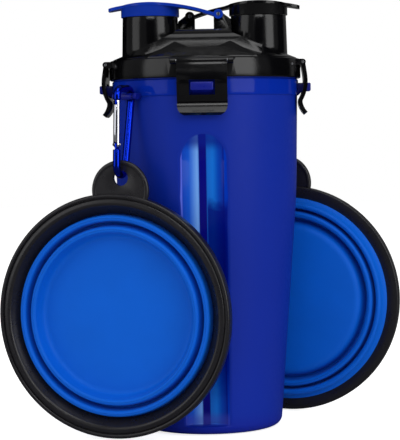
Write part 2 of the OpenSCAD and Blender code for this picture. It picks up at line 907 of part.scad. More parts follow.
module carabiner() {
    top_a = touch_angle(bar_at, elbow_r, span_at, elbow_r, 1);
    color(cap_blue)
        difference() {
            union() {
                wire_run(on_bend(bar_at, elbow_r, half), on_bend(low_at, clip_bend_r, half));
                wire_bend(bar_at, elbow_r, top_a, half);
                wire_run(on_bend(bar_at, elbow_r, top_a), on_bend(span_at, elbow_r, top_a));
                wire_bend(span_at, elbow_r, run_a, top_a);
                wire_run(run_top, gate_top + run_dir * move_gap);
                wire_bend(low_at, clip_bend_r, -half, run_a);
                wire_run(run_low, stub_end);
                at_gate() {
                    translate([-tongue_r, -stub_gap - tongue_root, -tongue_t / 2])
                        cube([2 * tongue_r, stub_gap + tongue_root, tongue_t]);
                    cylinder(r = tongue_r, h = tongue_t, center = true);
                    translate([-nose_tongue / 2, gate_len - nose_tongue, -tongue_t / 2])
                        cube([nose_tongue, nose_tongue + move_gap + tongue_root, tongue_t]);
                }
            }
            at_gate()
                cylinder(r = rivet_r + run_gap, h = 3 * wire_d, center = true);
        }
}

module gate() {
    color(steel)
        at_gate()
            difference() {
                union() {
                    rotate([-90, 0, 0])
                        cylinder(r = gate_r, h = gate_len);
                    sphere(gate_r);
                }
                translate([-wire_d, -wire_d, -slot_w / 2])
                    cube([2 * wire_d, wire_d + tongue_r + move_gap, slot_w]);
                translate([-wire_d, gate_len - nose_tongue - move_gap, -slot_w / 2])
                    cube([2 * wire_d, wire_d, slot_w]);
                cylinder(r = rivet_r, h = 3 * wire_d, center = true);
                rotate([-90, 0, 0])
                    cylinder(r = bore_r, h = plunger_at + plunger_len + spring_len + move_gap);
            }
}

module gate_rivet() {
    color(steel)
        at_gate()
            cylinder(r = rivet_r, h = rivet_len, center = true);
}

module gate_plunger() {
    color(steel)
        at_gate()
            rotate([-90, 0, 0])
                translate([0, 0, plunger_at])
                    cylinder(r = plunger_r, h = plunger_len);
}

module gate_spring() {
    color(steel)
        at_gate()
            rotate([-90, 0, 0])
                translate([0, 0, plunger_at + plunger_len])
                    difference() {
                        cylinder(r = plunger_r, h = spring_len);
                        translate([0, 0, -eps])
                            cylinder(r = plunger_r / 2, h = spring_len + 2 * eps);
                    }
}

module carabiner_front() at_clip() carabiner();
module gate_front() at_clip() gate();
module gate_rivet_front() at_clip() gate_rivet();
module gate_plunger_front() at_clip() gate_plunger();
module gate_spring_front() at_clip() gate_spring();
module carabiner_back() rotate([0, 0, half]) carabiner_front();
module gate_back() rotate([0, 0, half]) gate_front();
module gate_rivet_back() rotate([0, 0, half]) gate_rivet_front();
module gate_plunger_back() rotate([0, 0, half]) gate_plunger_front();
module gate_spring_back() rotate([0, 0, half]) gate_spring_front();

// Bowls: sections hold the radius and the height over the rim's face
fold_r = 1;
band_r = bowl_r - rim_band;
groove1_r = band_r - groove1_step;
crest1_r = groove1_r - crest1_step;
groove2_r = crest1_r - groove2_step;
crest2_r = groove2_r - crest2_step;
base_r = crest2_r - base_step;
crest_z = skin_t / 2 - crest_depth - fold_r;
groove_z = fold_r + skin_t / 2 - groove_depth;
gap_a = asin(move_gap / fold_r);
fold_out = fold_r + skin_t / 2;
fold_in = fold_r - skin_t / 2;
slope_r = groove1_r + 0.1;
fold_steps = 5;

// The rim has a rounded lip outside, a thin line, a rounded ring and a slope down to the silicone
lip_r = 1.3;
line_depth = 1.2;
ring_r = 2.1;
ring_drop = 2.2;
ring_inset = 1.6;
band_t = 2;
seat_depth = 7.2;
seat_step = 0.5;
slope_top = 6.4;

module rim_section() {
    polygon(concat(
        [[slope_r, -slope_top]],
        arc([band_r + ring_inset, -ring_drop], ring_r, 155, 75),
        [
            [bowl_r - lip_r - 1.7, -0.5],
            [bowl_r - lip_r - 1.4, -line_depth],
            [bowl_r - lip_r - 1, -line_depth]
        ],
        arc([bowl_r - lip_r, -lip_r], lip_r, 150, 0),
        [
            [bowl_r, 1 - rim_t],
            [bowl_r - 1, -rim_t],
            [band_r, -rim_t],
            [band_r, band_t - rim_t],
            [slope_r + seat_step, -seat_depth]
        ]
    ));
}

module bowl_rim(tilt) {
    color(gloss_black)
        at_bowl(tilt)
            difference() {
                union() {
                    rotate_extrude($fn = 180)
                        rim_section();
                    difference() {
                        translate([0, tab_reach - tab_r, -tab_depth]) {
                            cylinder(r = tab_r - tab_bead / 2, h = tab_t, center = true);
                            rotate_extrude()
                                translate([tab_r - tab_bead, 0])
                                    circle(tab_bead);
                        }
                        cylinder(r = bowl_r - 2, h = far, center = true);
                    }
                }
                translate([0, hole_reach, 0])
                    cylinder(r = hole_r, h = far, center = true);
            }
}

module bowl_collar(tilt) {
    color(bowl_blue)
        at_bowl(tilt)
            rotate_extrude($fn = 180)
                polygon(concat(
                    [
                        [band_r, band_t - rim_t],
                        [band_r, -rim_t],
                        [band_r - skin_t, -rim_t - 0.7],
                        [groove1_r + fold_r + skin_t / 2, groove_z]
                    ],
                    arc([groove1_r, groove_z], fold_r + skin_t / 2, 0, -90, fold_steps),
                    arc([groove1_r, groove_z], fold_r - skin_t / 2, -90, 0, fold_steps),
                    [[slope_r + seat_step, -seat_depth]]
                ));
}

// Outline of a fold: out of the bottom of a groove, up, and over a crest that lies further in
function fold_up(groove, crest) = concat(
    arc([groove, groove_z], fold_in, -90, -180, fold_steps),
    arc([crest, crest_z], fold_out, 0, 90 - gap_a, fold_steps),
    arc([crest, crest_z], fold_in, 90 - gap_a, 0, fold_steps),
    arc([groove, groove_z], fold_out, -180, -90, fold_steps)
);

// Outline of the silicone from the top of a crest down to the bottom of a groove further in
function fold_down(crest, groove) = concat(
    arc([crest, crest_z], fold_out, 90, 180, fold_steps),
    arc([groove, groove_z], fold_in, 0, -90, fold_steps),
    arc([groove, groove_z], fold_out, -90, 0, fold_steps),
    arc([crest, crest_z], fold_in, 180, 90, fold_steps)
);

module upper_fold(tilt) {
    color(bowl_blue)
        at_bowl(tilt)
            rotate_extrude($fn = 180)
                polygon(fold_up(groove1_r, crest1_r));
}

module bowl_band(tilt) {
    color(bowl_blue)
        at_bowl(tilt)
            rotate_extrude($fn = 180)
                polygon(fold_down(crest1_r, groove2_r));
}

module lower_fold(tilt) {
    color(bowl_blue)
        at_bowl(tilt)
            rotate_extrude($fn = 180)
                polygon(fold_up(groove2_r, crest2_r));
}

// The base's edge turns up to the last crest, as control points past its radius and over its middle
base_turn = [[2.6, 4], [1.8, 1.5], [1, 0], [-2, 0]];

module bowl_base(tilt) {
    base_z = -base_depth - skin_t / 2;
    line = band(concat(
        [[crest2_r - fold_r, crest_z]],
        curve([for (p = base_turn) [base_r, base_z] + p], fold_steps),
        [[0, base_z]]
    ), skin_t);
    color(bowl_blue)
        at_bowl(tilt)
            rotate_extrude($fn = 180)
                polygon(concat(
                    arc([crest2_r, crest_z], fold_in, 180, 90, fold_steps),
                    arc([crest2_r, crest_z], fold_out, 90, 180, fold_steps),
                    [for (i = [1 : len(line) - 2]) line[len(line) - 1 - i]]
                ));
}

module bowl_rim_front() bowl_rim(front_tilt);
module bowl_collar_front() bowl_collar(front_tilt);
module bowl_upper_fold_front() upper_fold(front_tilt);
module bowl_band_front() bowl_band(front_tilt);
module bowl_lower_fold_front() lower_fold(front_tilt);
module bowl_base_front() bowl_base(front_tilt);
module bowl_rim_back() rotate([0, 0, half]) bowl_rim(back_tilt);
module bowl_collar_back() rotate([0, 0, half]) bowl_collar(back_tilt);
module bowl_upper_fold_back() rotate([0, 0, half]) upper_fold(back_tilt);
module bowl_band_back() rotate([0, 0, half]) bowl_band(back_tilt);
module bowl_lower_fold_back() rotate([0, 0, half]) lower_fold(back_tilt);
module bowl_base_back() rotate([0, 0, half]) bowl_base(back_tilt);

bottle_body();
chamber_divider();
lid_shell();
lid_gasket();
latch_front();
latch_back();
latch_left();
latch_right();
latch_pin_front();
latch_pin_back();
latch_pin_left();
latch_pin_right();
water_cap();
water_cap_seal();
water_cap_pin();
food_cap();
food_cap_seal();
food_cap_pin();
carabiner_front();
gate_front();
gate_rivet_front();
gate_plunger_front();
gate_spring_front();
carabiner_back();
gate_back();
gate_rivet_back();
gate_plunger_back();
gate_spring_back();
bowl_rim_front();
bowl_collar_front();
bowl_upper_fold_front();
bowl_band_front();
bowl_lower_fold_front();
bowl_base_front();
bowl_rim_back();
bowl_collar_back();
bowl_upper_fold_back();
bowl_band_back();
bowl_lower_fold_back();
bowl_base_back();
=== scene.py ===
"""Dog travel bottle with two flip caps and two folding bowls: looks, camera and light.

Metres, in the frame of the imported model: the foot's centre is the origin and the front faces -Y.
"""

import json
import math

import bmesh
import bpy
from mathutils import Matrix, Vector

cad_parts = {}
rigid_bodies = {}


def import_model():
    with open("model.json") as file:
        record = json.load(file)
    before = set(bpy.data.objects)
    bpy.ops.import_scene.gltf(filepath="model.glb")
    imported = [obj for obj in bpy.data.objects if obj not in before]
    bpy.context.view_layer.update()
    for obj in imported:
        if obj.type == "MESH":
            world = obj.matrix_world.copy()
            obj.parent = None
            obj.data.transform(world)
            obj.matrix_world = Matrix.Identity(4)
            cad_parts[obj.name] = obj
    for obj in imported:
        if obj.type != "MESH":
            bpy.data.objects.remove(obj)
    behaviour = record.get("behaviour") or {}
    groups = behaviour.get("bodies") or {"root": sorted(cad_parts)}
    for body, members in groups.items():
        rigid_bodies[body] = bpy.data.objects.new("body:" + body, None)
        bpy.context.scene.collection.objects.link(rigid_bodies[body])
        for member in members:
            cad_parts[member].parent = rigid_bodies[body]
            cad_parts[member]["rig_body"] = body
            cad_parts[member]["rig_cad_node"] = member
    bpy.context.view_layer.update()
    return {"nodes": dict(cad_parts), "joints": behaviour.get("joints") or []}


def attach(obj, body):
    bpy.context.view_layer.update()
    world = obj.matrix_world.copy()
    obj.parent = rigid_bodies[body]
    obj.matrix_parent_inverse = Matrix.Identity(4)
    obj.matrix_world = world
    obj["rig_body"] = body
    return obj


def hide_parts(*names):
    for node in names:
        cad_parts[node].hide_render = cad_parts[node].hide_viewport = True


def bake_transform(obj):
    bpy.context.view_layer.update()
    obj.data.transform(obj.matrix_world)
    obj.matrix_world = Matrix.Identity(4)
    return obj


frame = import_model()
nodes = frame["nodes"]

MM = 0.001
SIDES = ("front", "back")
LATCHES = ("front", "right", "back", "left")

# Camera: the photograph's frame and what was measured in it
FRAME_W, FRAME_H = 400, 440
SENSOR = 36
FOCAL_PX = 1747
CAMERA_DISTANCE = 0.967
CAMERA_HEIGHT = 0.1606
CAMERA_AZIMUTH = 1.8
CAMERA_ROLL = 0.9
AXIS_PX = 207.3
HORIZON_PX = 135


def make_camera():
    """A level camera in front, tilted and rolled a little as the photograph shows."""
    azimuth = math.radians(CAMERA_AZIMUTH)
    place = Vector((
        CAMERA_DISTANCE * math.sin(azimuth),
        -CAMERA_DISTANCE * math.cos(azimuth),
        CAMERA_HEIGHT,
    ))
    yaw = azimuth + math.atan((AXIS_PX - FRAME_W / 2) / FOCAL_PX)
    tilt = math.atan((FRAME_H / 2 - HORIZON_PX) / FOCAL_PX)
    roll = math.radians(CAMERA_ROLL)
    turn = Matrix.Rotation(yaw, 3, "Z") @ Matrix.Rotation(math.pi / 2 - tilt, 3, "X")
    turn = turn @ Matrix.Rotation(-roll, 3, "Z")
    data = bpy.data.cameras.new("camera")
    data.sensor_width = SENSOR
    data.lens = FOCAL_PX / FRAME_H * SENSOR
    data.clip_start = 0.05
    camera = bpy.data.objects.new("camera", data)
    camera.matrix_world = Matrix.Translation(place) @ turn.to_4x4()
    bpy.context.scene.collection.objects.link(camera)
    bpy.context.scene.camera = camera


# Colours, as sRGB bytes
FROSTED_BLUE = (6, 38, 148)
DEEP_BLUE = (10, 26, 128)
LIT_BLUE = (62, 66, 168)
PAINTED_SHADE_BLUE = (1, 12, 118)
CATCH_BLUE = (10, 22, 120)
CAP_BLUE = (10, 48, 156)
BOWL_BLUE = (2, 90, 200)
CLIP_BLUE = (14, 44, 190)
GLOSS_BLACK = (7, 7, 9)
RIM_BLACK = (25, 24, 28)
STEEL = (196, 198, 204)
GATE_SILVER = (228, 230, 238)
SEAL_GREY = (205, 208, 214)

# Painted highlights and painted shade across a grip hollow, with the divider's edge behind its clear wall, as
# (millimetres right of its middle, colour)
HOLLOW_HIGHLIGHTS_AND_SHADE = (
    (-14.4, (8, 24, 132)), (-13.0, (16, 62, 164)), (-12.4, (84, 98, 205)), (-11.8, (84, 98, 205)),
    (-11.3, (12, 58, 168)), (-8.0, (16, 76, 184)), (-6.0, (66, 116, 204)), (-3.6, (104, 152, 220)),
    (-2.9, (84, 134, 212)), (-2.5, (7, 8, 110)), (1.1, (8, 9, 112)), (1.6, (22, 92, 186)),
    (4.6, (18, 104, 198)), (7.4, (6, 66, 172)), (9.9, (10, 42, 148)), (10.3, (3, 14, 114)),
    (10.8, (0, 50, 170)), (13.0, (0, 44, 164)), (14.2, (6, 22, 132)),
)


def linear(rgb):
    """Scene-linear colour of an sRGB byte colour."""
    def channel(byte):
        c = byte / 255
        return c / 12.92 if c <= 0.04045 else ((c + 0.055) / 1.055) ** 2.4
    return tuple(channel(b) for b in rgb) + (1,)


class Nodes:
    """Short ways to add nodes to one material."""

    def __init__(self, name):
        self.material = bpy.data.materials.new(name)
        self.material.use_nodes = True
        self.tree = self.material.node_tree
        self.shader = self.tree.nodes["Principled BSDF"]
        self.coords = self.add("ShaderNodeTexCoord").outputs["Object"]

    def add(self, kind, **settings):
        node = self.tree.nodes.new(kind)
        for key, value in settings.items():
            setattr(node, key, value)
        return node

    def link(self, source, target):
        self.tree.links.new(source, target)

    def put(self, **values):
        """Sets sockets of the shader; an underscore in a name stands for a space."""
        for key, value in values.items():
            self.shader.inputs[key.replace("_", " ")].default_value = value

    def scaled(self, scale):
        mapping = self.add("ShaderNodeMapping")
        mapping.inputs["Scale"].default_value = scale
        self.link(self.coords, mapping.inputs["Vector"])
        return mapping.outputs["Vector"]

    def noise(self, scale, detail=3, vector=None):
        node = self.add("ShaderNodeTexNoise")
        node.inputs["Scale"].default_value = scale
        node.inputs["Detail"].default_value = detail
        self.link(vector or self.coords, node.inputs["Vector"])
        return node.outputs["Fac"]

    def spread(self, value, low, high, start=0.0, end=1.0, smooth=False):
        """Maps value from start..end to low..high, held at the ends."""
        node = self.add("ShaderNodeMapRange", clamp=True)
        if smooth:
            node.interpolation_type = "SMOOTHSTEP"
        for key, number in (("From Min", start), ("From Max", end), ("To Min", low), ("To Max", high)):
            node.inputs[key].default_value = number
        self.link(value, node.inputs["Value"])
        return node.outputs["Result"]

    def maths(self, operation, a, b=None):
        node = self.add("ShaderNodeMath", operation=operation)
        for socket, value in zip(node.inputs, (a, b)):
            if value is None:
                continue
            if isinstance(value, (int, float)):
                socket.default_value = value
            else:
                self.link(value, socket)
        return node.outputs[0]

    def mix(self, factor, a, b):
        node = self.add("ShaderNodeMix", data_type="RGBA")
        self.link(factor, node.inputs["Factor"])
        for socket, colour in ((node.inputs[6], a), (node.inputs[7], b)):
            if isinstance(colour, tuple):
                socket.default_value = colour
            else:
                self.link(colour, socket)
        return node.outputs[2]

    def colour(self, socket):
        self.link(socket, self.shader.inputs["Base Color"])

    def roughness(self, socket):
        self.link(socket, self.shader.inputs["Roughness"])

    def bump(self, height, distance, strength=1.0):
        node = self.add("ShaderNodeBump")
        node.inputs["Distance"].default_value = distance
        node.inputs["Strength"].default_value = strength
        self.link(height, node.inputs["Height"])
        self.link(node.outputs["Normal"], self.shader.inputs["Normal"])

    def axes(self):
        node = self.add("ShaderNodeSeparateXYZ")
        self.link(self.coords, node.inputs["Vector"])
        return node.outputs


def shade(rgb, factor):
    """Scene-linear colour, lighter or darker by a factor."""
    return tuple(c * factor for c in linear(rgb)[:3]) + (1,)


def moulded_plastic(name, rgb, rough, grain=0.02, gloss=0.4):
    """Moulded plastic: a slight cloudiness in its colour and gloss, and a fine skin."""
    m = Nodes(name)
    m.put(IOR=1.5, Specular_IOR_Level=gloss)
    cloud = m.noise(55)
    m.colour(m.mix(cloud, shade(rgb, 0.85), shade(rgb, 1.15)))
    m.roughness(m.spread(m.noise(190), rough * 0.8, rough * 1.25, 0.3, 0.7))
    m.bump(m.noise(2600, 2), grain * MM)
    return m


def silicone(name, rgb):
    """Soft matte rubber with a fine grain."""
    m = Nodes(name)
    m.put(IOR=1.4, Specular_IOR_Level=0.15, Sheen_Weight=0.02, Sheen_Roughness=0.4)
    cloud = m.noise(35)
    m.colour(m.mix(cloud, shade(rgb, 0.9), shade(rgb, 1.1)))
    m.roughness(m.spread(m.noise(240), 0.42, 0.56, 0.3, 0.7))
    m.bump(m.noise(1500, 4), 0.03 * MM)
    return m


def metal(name, rgb, rough, stretch=(300, 300, 12)):
    """Drawn metal: fine lines along its length in gloss and relief."""
    m = Nodes(name)
    m.put(Metallic=1.0)
    lines = m.noise(6, 4, m.scaled(stretch))
    m.colour(m.mix(lines, shade(rgb, 0.88), shade(rgb, 1.05)))
    m.roughness(m.spread(lines, rough * 0.7, rough * 1.4, 0.3, 0.7))
    m.bump(lines, 0.008 * MM)
    return m


# Where the cup's finish changes, in millimetres
COLLAR_LOW, COLLAR_HIGH = 181.5, 190.5
HOLLOW_LOW, HOLLOW_HIGH = 5.0, 161.0
HOLLOW_HALF = 14.5
HOLLOW_DEPTH = (0.35, 0.6)
# The hollow's right side has painted shade between two heights, whose edges are soft and a little wavy
SHADE_START = (1.4, 1.9)
SHADE_TOP, SHADE_LOW = (124, 130), (20, 46)
WAVE = 6
# The hollow has a painted highlight at its foot and painted shade at its head
LIT_FOOT, SHADED_HEAD = (8, 13), (151.5, 157.5)
SKIN_FOOT = 12
FOOT_PLACE, KNEE_PLACE, NECK_PLACE = (5.0, 40.1), (128.0, 49.6), (181.5, 50.6)


def frosted_cup():
    """Frosted blue plastic; in the grip hollows it is clear, with painted highlights and painted shade, and
    the divider's edge shows behind it.
    """
    m = Nodes("frosted_cup")
    m.put(IOR=1.5, Specular_IOR_Level=0.12)
    x, y, z = m.axes()
    radius = m.maths("SQRT", m.maths("ADD", m.maths("MULTIPLY", x, x), m.maths("MULTIPLY", y, y)))
    wall = m.spread(z, FOOT_PLACE[1] * MM, KNEE_PLACE[1] * MM, FOOT_PLACE[0] * MM, KNEE_PLACE[0] * MM)
    rise = m.spread(z, 0, (NECK_PLACE[1] - KNEE_PLACE[1]) * MM, KNEE_PLACE[0] * MM, NECK_PLACE[0] * MM)
    depth = m.maths("SUBTRACT", m.maths("ADD", wall, rise), radius)
    inside = m.spread(depth, 0, 1, HOLLOW_DEPTH[0] * MM, HOLLOW_DEPTH[1] * MM, True)
    above = m.spread(z, 0, 1, HOLLOW_LOW * MM, (HOLLOW_LOW + 0.6) * MM)
    below = m.spread(z, 1, 0, HOLLOW_HIGH * MM, (HOLLOW_HIGH + 0.5) * MM)
    clear = m.maths("MULTIPLY", m.maths("MULTIPLY", inside, above), below)

    # Frosted skin: deeper at the foot
    cloud = m.spread(m.noise(9, 2), 0, 1, 0.3, 0.7)
    skin = m.mix(cloud, shade(FROSTED_BLUE, 0.93), shade(FROSTED_BLUE, 1.08))
    foot = m.spread(z, 1, 0, 0.0, SKIN_FOOT * MM, True)
    skin = m.mix(foot, skin, shade(DEEP_BLUE, 1.3))

    # Clear hollow: bands of painted highlight and painted shade from side to side, and painted shade at the
    # right below the middle
    across = m.maths("MULTIPLY", x, m.maths("MULTIPLY", m.maths("SIGN", y), -1))
    ramp = m.add("ShaderNodeValToRGB")
    m.link(m.spread(across, 0, 1, -HOLLOW_HALF * MM, HOLLOW_HALF * MM), ramp.inputs["Fac"])
    stops = ramp.color_ramp.elements
    while len(stops) < len(HOLLOW_HIGHLIGHTS_AND_SHADE):
        stops.new(0.5)
    for stop, (place, rgb) in zip(stops, HOLLOW_HIGHLIGHTS_AND_SHADE):
        stop.position = 0.5 + place / (2 * HOLLOW_HALF)
        stop.color = shade(rgb, 1.05)
    right = m.spread(across, 0, 1, SHADE_START[0] * MM, SHADE_START[1] * MM)
    wavy = m.maths("ADD", z, m.maths("MULTIPLY", m.noise(260, 1), WAVE * MM))
    middle = m.maths("MULTIPLY", m.spread(wavy, 1, 0, SHADE_TOP[0] * MM, SHADE_TOP[1] * MM),
                     m.spread(wavy, 0, 1, SHADE_LOW[0] * MM, SHADE_LOW[1] * MM))
    # Painted shade on the hollow's right side, between two wavy heights
    painted_shade = m.maths("MULTIPLY", right, m.maths("MULTIPLY", middle, 0.92))
    bands = m.mix(painted_shade, ramp.outputs["Color"], shade(PAINTED_SHADE_BLUE, 1))
    # Painted highlight at the hollow's foot
    low = m.spread(z, 1, 0, LIT_FOOT[0] * MM, LIT_FOOT[1] * MM, True)
    bands = m.mix(m.maths("MULTIPLY", low, 0.5), bands, shade(LIT_BLUE, 1))
    # Painted shade at the hollow's head
    high = m.spread(z, 0, 1, SHADED_HEAD[0] * MM, SHADED_HEAD[1] * MM, True)
    bands = m.mix(m.maths("MULTIPLY", high, 0.8), bands, shade(DEEP_BLUE, 1.1))
    m.colour(m.mix(clear, skin, bands))

    # The hollow and the collar are polished, and the rest is frosted with a fine grain
    collar = m.maths("MULTIPLY", m.spread(z, 0, 1, COLLAR_LOW * MM, (COLLAR_LOW + 0.4) * MM),
                     m.spread(z, 1, 0, COLLAR_HIGH * MM, (COLLAR_HIGH + 0.3) * MM))
    polish = m.maths("MAXIMUM", clear, collar)
    frost = m.spread(m.noise(420, 4), 0.38, 0.52, 0.3, 0.7)
    frosted = m.maths("MULTIPLY", frost, m.maths("SUBTRACT", 1, polish))
    m.roughness(m.maths("ADD", frosted, m.maths("MULTIPLY", polish, 0.1)))
    grain = m.maths("MULTIPLY", m.noise(3200, 2), m.maths("SUBTRACT", 1, polish))
    m.bump(grain, 0.02 * MM)
    return m


def assign(name, material):
    """Gives one material to the whole of a CAD node."""
    mesh = nodes[name].data
    mesh.materials.clear()
    mesh.materials.append(material.material)


def finish_piece(piece, material, body, replaced=(), angle=32):
    """Shading, finish, body and slot of a piece made here."""
    piece.data.materials.clear()
    piece.data.materials.append(material.material)
    piece.data.shade_smooth()
    piece.data.set_sharp_from_angle(angle=math.radians(angle))
    if body:
        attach(piece, body)
    if replaced:
        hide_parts(*replaced)
    return piece


def new_piece(name, bm, matrix=None):
    """An object made from a bmesh, with its place in its mesh."""
    bmesh.ops.recalc_face_normals(bm, faces=bm.faces)
    mesh = bpy.data.meshes.new(name)
    bm.to_mesh(mesh)
    bm.free()
    if matrix:
        mesh.transform(matrix)
    piece = bpy.data.objects.new(name, mesh)
    bpy.context.scene.collection.objects.link(piece)
    return piece


# A dressed copy's points closer than MERGE millimetres join, and faces within FLAT degrees become one
MERGE, FLAT = 0.002, 0.4


def dressed(node, width, segments=2, angle=30):
    """A copy of a CAD node with its edges rounded."""
    piece = nodes[node].copy()
    piece.data = nodes[node].data.copy()
    piece.name = f"{node}_finished"
    piece.parent = None
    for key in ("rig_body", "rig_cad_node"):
        del piece[key]
    bpy.context.scene.collection.objects.link(piece)
    bm = bmesh.new()
    bm.from_mesh(piece.data)
    bmesh.ops.remove_doubles(bm, verts=bm.verts, dist=MERGE * MM)
    bmesh.ops.dissolve_limit(bm, angle_limit=math.radians(FLAT), verts=bm.verts, edges=bm.edges)
    bm.to_mesh(piece.data)
    bm.free()
    bevel = piece.modifiers.new("bevel", "BEVEL")
    bevel.width = width * MM
    bevel.segments = segments
    bevel.limit_method = "ANGLE"
    bevel.angle_limit = math.radians(angle)
    bevel.harden_normals = False
    bevel.use_clamp_overlap = True
    return piece


def apply_modifiers(piece):
    """Bakes the modifiers into the mesh."""
    graph = bpy.context.evaluated_depsgraph_get()
    mesh = bpy.data.meshes.new_from_object(piece.evaluated_get(graph))
    piece.modifiers.clear()
    piece.data = mesh


def dress(node, material, body, width):
    """Replaces a CAD node with a copy of it that has rounded edges."""
    piece = dressed(node, width)
    apply_modifiers(piece)
    finish_piece(piece, material, body, [node], 28)


# Outlines: lists of (radius, height) in millimetres
def arc(x, z, r, start, end, steps=8):
    """Points on a circle about (x, z), from a start to an end angle in degrees."""
    angles = [math.radians(start + (end - start) * i / steps) for i in range(steps + 1)]
    return [(x + r * math.cos(a), z + r * math.sin(a)) for a in angles]


def band(line, thickness):
    """Closed outline of a band along a line of points."""
    sides = ([], [])
    for i, (x, z) in enumerate(line):
        x0, z0 = line[max(i - 1, 0)]
        x1, z1 = line[min(i + 1, len(line) - 1)]
        length = math.hypot(x1 - x0, z1 - z0)
        nx, nz = (z0 - z1) / length, (x1 - x0) / length
        for side, sign in zip(sides, (1, -1)):
            side.append((x + sign * nx * thickness / 2, z + sign * nz * thickness / 2))
    return sides[0] + sides[1][::-1]


def between(a, b, steps):
    """Points strictly between a and b."""
    return [(a[0] + (b[0] - a[0]) * i / steps, a[1] + (b[1] - a[1]) * i / steps) for i in range(1, steps)]


def turned(name, outline, matrix=None, steps=180):
    """A closed outline turned about the z axis."""
    bm = bmesh.new()
    rings = []
    for r, z in outline:
        if r < 1e-6:
            rings.append([bm.verts.new((0, 0, z * MM))])
            continue
        turns = [2 * math.pi * i / steps for i in range(steps)]
        rings.append([bm.verts.new((r * MM * math.cos(a), r * MM * math.sin(a), z * MM)) for a in turns])
    for low, high in zip(rings, rings[1:] + rings[:1]):
        if len(low) == 1 and len(high) == 1:
            continue
        for i in range(steps):
            j = (i + 1) % steps
            corners = [low[i % len(low)], low[j % len(low)], high[j % len(high)], high[i % len(high)]]
            bm.faces.new(list(dict.fromkeys(corners)))
    return new_piece(name, bm, matrix)


# Bowls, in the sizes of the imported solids
BOWL_TILT = {"front": 4.6, "back": 2.0}
TAB_DEPTH = 2.2
FOLD_R = 1.0
SKIN = 1.2
CREST_Z, GROOVE_Z = -3.0, -9.4
GROOVE_1, CREST_1, GROOVE_2, CREST_2 = 54.3, 52.0, 49.2, 46.0
BASE_R, BASE_Z = 41.6, -10.0


def joint_named(name):
    """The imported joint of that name."""
    return next(j for j in frame["joints"] if j["name"] == name)


def bowl_frame(side):
    """Matrix from a bowl's own frame, z out of its face and y to its tab, to the object's frame."""
    joint = joint_named(f"bowl_{side}_swing")
    out = Vector(joint["axis"])
    level = Vector((0, 0, 1)).cross(out)
    tilt = math.radians(BOWL_TILT[side])
    right = level * math.cos(tilt) - Vector((0, 0, 1)) * math.sin(tilt)
    up = out.cross(right)
    centre = Vector(joint["pos_m"]) + (out * TAB_DEPTH - up * HOLE_REACH) * MM
    return Matrix.Translation(centre) @ Matrix((right, up, out)).transposed().to_4x4(), out


def fold_wall(groove, crest, steps=8):
    """Middle line of one fold: from the bottom of a groove up and over to the top of a crest."""
    up = arc(groove, GROOVE_Z, FOLD_R, -90, -180)
    over = arc(crest, CREST_Z, FOLD_R, 0, 90)
    return up + between(up[-1], over[0], steps) + over


def fold_return(crest, groove, steps=8):
    """Middle line from the top of a crest down to the bottom of the next groove."""
    down = arc(crest, CREST_Z, FOLD_R, 90, 180)
    under = arc(groove, GROOVE_Z, FOLD_R, 0, -90)
    return down + between(down[-1], under[0], steps) + under


def base_line():
    """Middle line from the top of the last crest down to the flat base's middle."""
    controls = [
        (BASE_R + 2.6, BASE_Z + 4), (BASE_R + 1.8, BASE_Z + 1.5), (BASE_R + 1, BASE_Z), (BASE_R - 2, BASE_Z),
    ]
    turn = []
    for i in range(13):
        t = i / 12
        weights = ((1 - t) ** 3, 3 * t * (1 - t) ** 2, 3 * t * t * (1 - t), t ** 3)
        turn.append(tuple(sum(w * c[k] for w, c in zip(weights, controls)) for k in (0, 1)))
    start = arc(CREST_2, CREST_Z, FOLD_R, 90, 180)
    flat = [(BASE_R * k, BASE_Z) for k in (0.7, 0.4, 0.1)]
    return start + between(start[-1], turn[0], 4) + turn + flat + [(0, BASE_Z)]


BOWL_R, BAND_R, RIM_T = 65.0, 58.5, 6.2
TAB_R, TAB_REACH, TAB_T, TAB_BEAD = 16.0, 82.8, 2.2, 1.5
HOLE_R, HOLE_REACH = 4.0, 73.4


